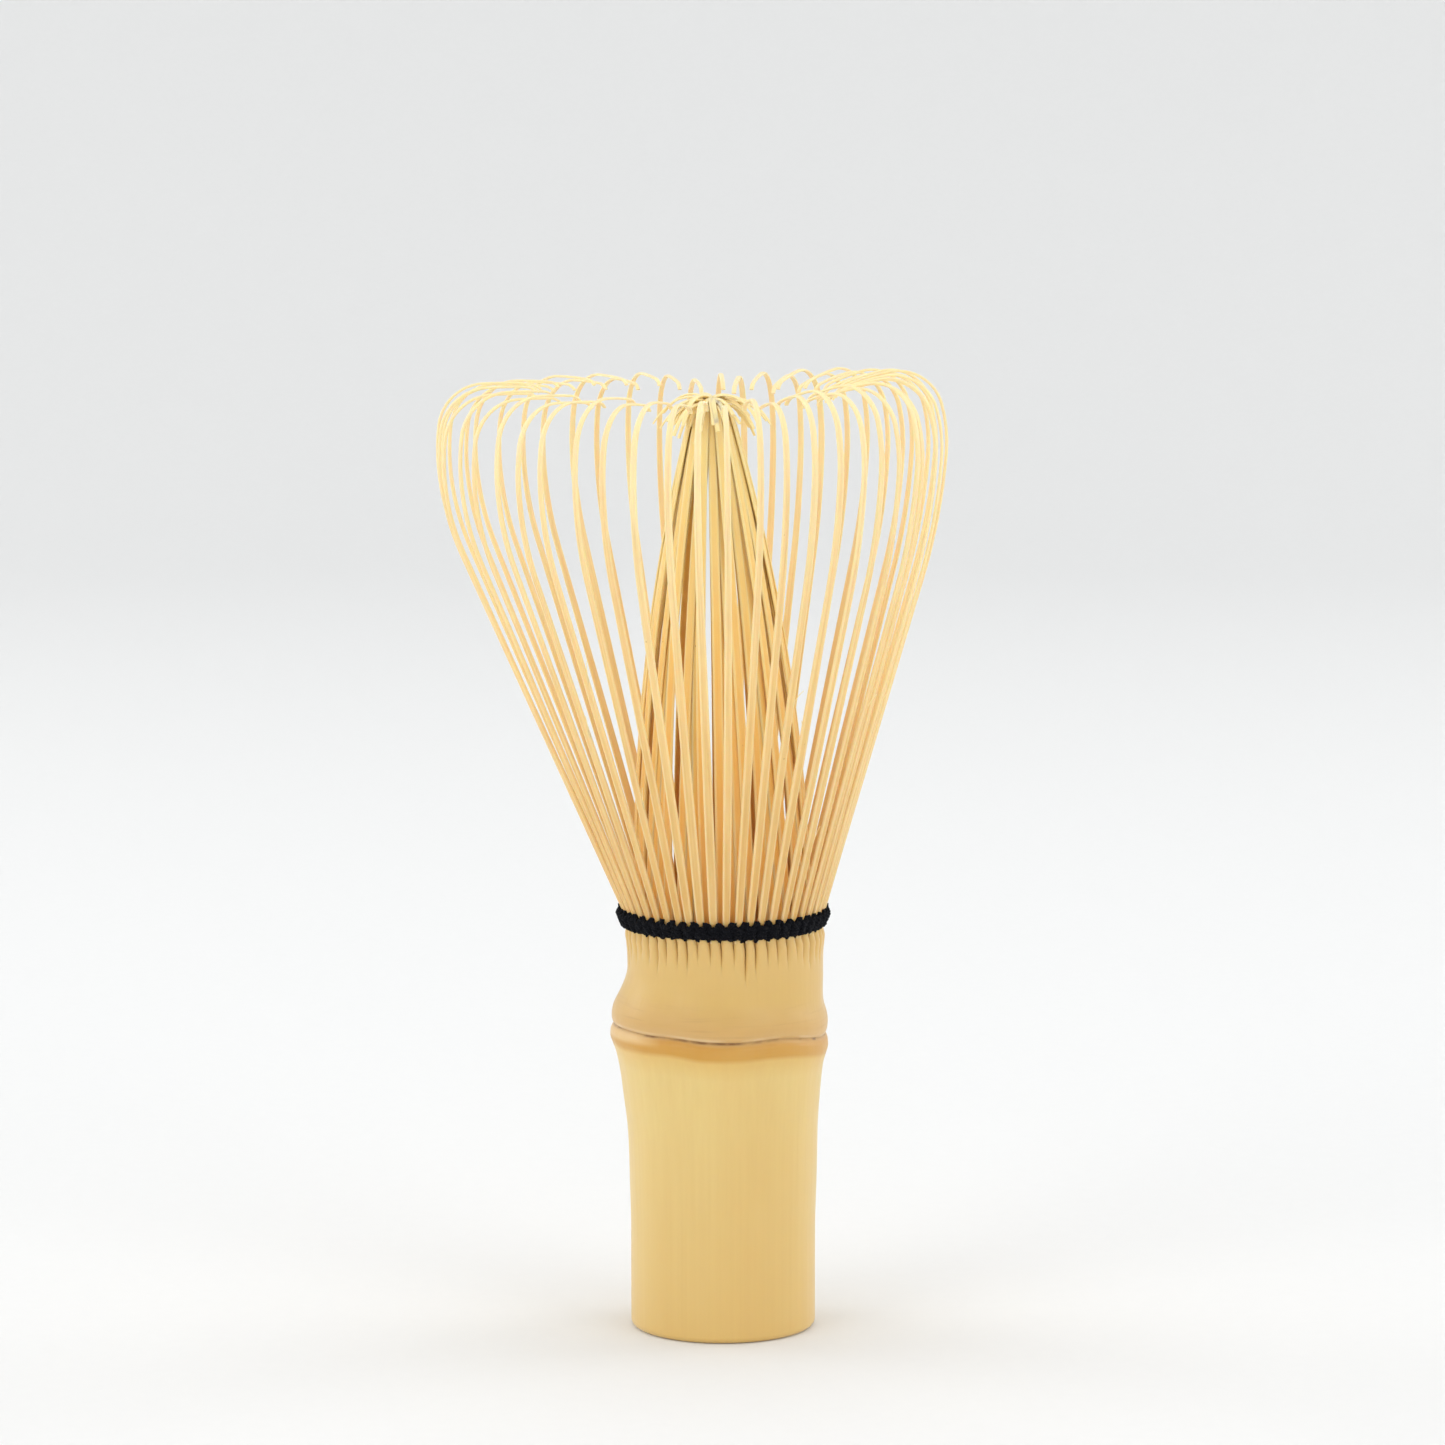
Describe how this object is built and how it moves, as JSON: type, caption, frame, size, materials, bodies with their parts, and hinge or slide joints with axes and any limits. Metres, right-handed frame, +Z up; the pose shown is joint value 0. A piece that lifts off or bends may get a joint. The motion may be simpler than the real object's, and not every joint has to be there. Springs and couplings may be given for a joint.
{
  "type": "bamboo tea whisk",
  "caption": "Tea whisk of split bamboo: hollow handle with a node, a ring of hooked outer tines and a gathered cone of inner tines, bound by a dark woven thread.",
  "frame": {"origin": "centre of the hollow at the handle's foot, on the handle's axis, which is where it stands", "axes": "+Z up along the handle's axis towards the tines; the head of tines leans a little towards -X; +Y is the back"},
  "size_m": [0.0616, 0.0605, 0.117],
  "materials": {
    "bamboo_skin": "satin",
    "bamboo_node": "matte",
    "bamboo_tine": "satin",
    "cotton_thread": "matte"
  },
  "bodies": {
    "base": {"handle": "bamboo_skin", "node_ring": "bamboo_node", "septum": "bamboo_node", "collar": "bamboo_skin", "outer_tine_roots": "bamboo_tine", "inner_tine_roots": "bamboo_tine", "thread_turn_1": "cotton_thread", "thread_turn_2": "cotton_thread", "thread_turn_3": "cotton_thread", "thread_turn_4": "cotton_thread", "thread_weave_1": "cotton_thread", "thread_weave_2": "cotton_thread", "thread_knot": "cotton_thread"},
    "outer_stave_01": {"outer_tines_01": "bamboo_tine"},
    "outer_stave_02": {"outer_tines_02": "bamboo_tine"},
    "outer_stave_03": {"outer_tines_03": "bamboo_tine"},
    "outer_stave_04": {"outer_tines_04": "bamboo_tine"},
    "outer_stave_05": {"outer_tines_05": "bamboo_tine"},
    "outer_stave_06": {"outer_tines_06": "bamboo_tine"},
    "outer_stave_07": {"outer_tines_07": "bamboo_tine"},
    "outer_stave_08": {"outer_tines_08": "bamboo_tine"},
    "outer_stave_09": {"outer_tines_09": "bamboo_tine"},
    "outer_stave_10": {"outer_tines_10": "bamboo_tine"},
    "outer_stave_11": {"outer_tines_11": "bamboo_tine"},
    "outer_stave_12": {"outer_tines_12": "bamboo_tine"},
    "outer_stave_13": {"outer_tines_13": "bamboo_tine"},
    "inner_stave_01": {"inner_tines_01": "bamboo_tine"},
    "inner_stave_02": {"inner_tines_02": "bamboo_tine"},
    "inner_stave_03": {"inner_tines_03": "bamboo_tine"},
    "inner_stave_04": {"inner_tines_04": "bamboo_tine"},
    "inner_stave_05": {"inner_tines_05": "bamboo_tine"},
    "inner_stave_06": {"inner_tines_06": "bamboo_tine"},
    "inner_stave_07": {"inner_tines_07": "bamboo_tine"},
    "inner_stave_08": {"inner_tines_08": "bamboo_tine"},
    "inner_stave_09": {"inner_tines_09": "bamboo_tine"},
    "inner_stave_10": {"inner_tines_10": "bamboo_tine"},
    "inner_stave_11": {"inner_tines_11": "bamboo_tine"},
    "inner_stave_12": {"inner_tines_12": "bamboo_tine"},
    "inner_stave_13": {"inner_tines_13": "bamboo_tine"}
  },
  "joints": [
    {"name": "outer_bend_01", "type": "hinge", "parent": "base", "child": "outer_stave_01", "pos_m": [0.01254, 0, 0.0521], "axis": [0, 1, 0], "range_deg": [-2, 8], "stiffness_Nm_per_rad": 0.016},
    {"name": "outer_bend_02", "type": "hinge", "parent": "base", "child": "outer_stave_02", "pos_m": [0.0111, 0.00583, 0.0521], "axis": [-0.4647, 0.8855, 0], "range_deg": [-2, 8], "stiffness_Nm_per_rad": 0.016},
    {"name": "outer_bend_03", "type": "hinge", "parent": "base", "child": "outer_stave_03", "pos_m": [0.00712, 0.01032, 0.0521], "axis": [-0.823, 0.5681, 0], "range_deg": [-2, 8], "stiffness_Nm_per_rad": 0.016},
    {"name": "outer_bend_04", "type": "hinge", "parent": "base", "child": "outer_stave_04", "pos_m": [0.00151, 0.01245, 0.0521], "axis": [-0.9927, 0.1205, 0], "range_deg": [-2, 8], "stiffness_Nm_per_rad": 0.016},
    {"name": "outer_bend_05", "type": "hinge", "parent": "base", "child": "outer_stave_05", "pos_m": [-0.00445, 0.01172, 0.0521], "axis": [-0.935, -0.3546, 0], "range_deg": [-2, 8], "stiffness_Nm_per_rad": 0.016},
    {"name": "outer_bend_06", "type": "hinge", "parent": "base", "child": "outer_stave_06", "pos_m": [-0.00939, 0.00832, 0.0521], "axis": [-0.6631, -0.7485, 0], "range_deg": [-2, 8], "stiffness_Nm_per_rad": 0.016},
    {"name": "outer_bend_07", "type": "hinge", "parent": "base", "child": "outer_stave_07", "pos_m": [-0.01218, 0.003, 0.0521], "axis": [-0.2393, -0.9709, 0], "range_deg": [-2, 8], "stiffness_Nm_per_rad": 0.016},
    {"name": "outer_bend_08", "type": "hinge", "parent": "base", "child": "outer_stave_08", "pos_m": [-0.01218, -0.003, 0.0521], "axis": [0.2393, -0.9709, 0], "range_deg": [-2, 8], "stiffness_Nm_per_rad": 0.016},
    {"name": "outer_bend_09", "type": "hinge", "parent": "base", "child": "outer_stave_09", "pos_m": [-0.00939, -0.00832, 0.0521], "axis": [0.6631, -0.7485, 0], "range_deg": [-2, 8], "stiffness_Nm_per_rad": 0.016},
    {"name": "outer_bend_10", "type": "hinge", "parent": "base", "child": "outer_stave_10", "pos_m": [-0.00445, -0.01172, 0.0521], "axis": [0.935, -0.3546, 0], "range_deg": [-2, 8], "stiffness_Nm_per_rad": 0.016},
    {"name": "outer_bend_11", "type": "hinge", "parent": "base", "child": "outer_stave_11", "pos_m": [0.00151, -0.01245, 0.0521], "axis": [0.9927, 0.1205, 0], "range_deg": [-2, 8], "stiffness_Nm_per_rad": 0.016},
    {"name": "outer_bend_12", "type": "hinge", "parent": "base", "child": "outer_stave_12", "pos_m": [0.00712, -0.01032, 0.0521], "axis": [0.823, 0.5681, 0], "range_deg": [-2, 8], "stiffness_Nm_per_rad": 0.016},
    {"name": "outer_bend_13", "type": "hinge", "parent": "base", "child": "outer_stave_13", "pos_m": [0.0111, -0.00583, 0.0521], "axis": [0.4647, 0.8855, 0], "range_deg": [-2, 8], "stiffness_Nm_per_rad": 0.016},
    {"name": "inner_bend_01", "type": "hinge", "parent": "base", "child": "inner_stave_01", "pos_m": [0.01064, 0, 0.0521], "axis": [0, 1, 0], "range_deg": [0, 6], "stiffness_Nm_per_rad": 0.006},
    {"name": "inner_bend_02", "type": "hinge", "parent": "base", "child": "inner_stave_02", "pos_m": [0.00942, 0.00494, 0.0521], "axis": [-0.4647, 0.8855, 0], "range_deg": [0, 6], "stiffness_Nm_per_rad": 0.006},
    {"name": "inner_bend_03", "type": "hinge", "parent": "base", "child": "inner_stave_03", "pos_m": [0.00604, 0.00876, 0.0521], "axis": [-0.823, 0.5681, 0], "range_deg": [0, 6], "stiffness_Nm_per_rad": 0.006},
    {"name": "inner_bend_04", "type": "hinge", "parent": "base", "child": "inner_stave_04", "pos_m": [0.00128, 0.01056, 0.0521], "axis": [-0.9927, 0.1205, 0], "range_deg": [0, 6], "stiffness_Nm_per_rad": 0.006},
    {"name": "inner_bend_05", "type": "hinge", "parent": "base", "child": "inner_stave_05", "pos_m": [-0.00377, 0.00995, 0.0521], "axis": [-0.935, -0.3546, 0], "range_deg": [0, 6], "stiffness_Nm_per_rad": 0.006},
    {"name": "inner_bend_06", "type": "hinge", "parent": "base", "child": "inner_stave_06", "pos_m": [-0.00796, 0.00706, 0.0521], "axis": [-0.6631, -0.7485, 0], "range_deg": [0, 6], "stiffness_Nm_per_rad": 0.006},
    {"name": "inner_bend_07", "type": "hinge", "parent": "base", "child": "inner_stave_07", "pos_m": [-0.01033, 0.00255, 0.0521], "axis": [-0.2393, -0.9709, 0], "range_deg": [0, 6], "stiffness_Nm_per_rad": 0.006},
    {"name": "inner_bend_08", "type": "hinge", "parent": "base", "child": "inner_stave_08", "pos_m": [-0.01033, -0.00255, 0.0521], "axis": [0.2393, -0.9709, 0], "range_deg": [0, 6], "stiffness_Nm_per_rad": 0.006},
    {"name": "inner_bend_09", "type": "hinge", "parent": "base", "child": "inner_stave_09", "pos_m": [-0.00796, -0.00706, 0.0521], "axis": [0.6631, -0.7485, 0], "range_deg": [0, 6], "stiffness_Nm_per_rad": 0.006},
    {"name": "inner_bend_10", "type": "hinge", "parent": "base", "child": "inner_stave_10", "pos_m": [-0.00377, -0.00995, 0.0521], "axis": [0.935, -0.3546, 0], "range_deg": [0, 6], "stiffness_Nm_per_rad": 0.006},
    {"name": "inner_bend_11", "type": "hinge", "parent": "base", "child": "inner_stave_11", "pos_m": [0.00128, -0.01056, 0.0521], "axis": [0.9927, 0.1205, 0], "range_deg": [0, 6], "stiffness_Nm_per_rad": 0.006},
    {"name": "inner_bend_12", "type": "hinge", "parent": "base", "child": "inner_stave_12", "pos_m": [0.00604, -0.00876, 0.0521], "axis": [0.823, 0.5681, 0], "range_deg": [0, 6], "stiffness_Nm_per_rad": 0.006},
    {"name": "inner_bend_13", "type": "hinge", "parent": "base", "child": "inner_stave_13", "pos_m": [0.00942, -0.00494, 0.0521], "axis": [0.4647, 0.8855, 0], "range_deg": [0, 6], "stiffness_Nm_per_rad": 0.006}
  ]
}
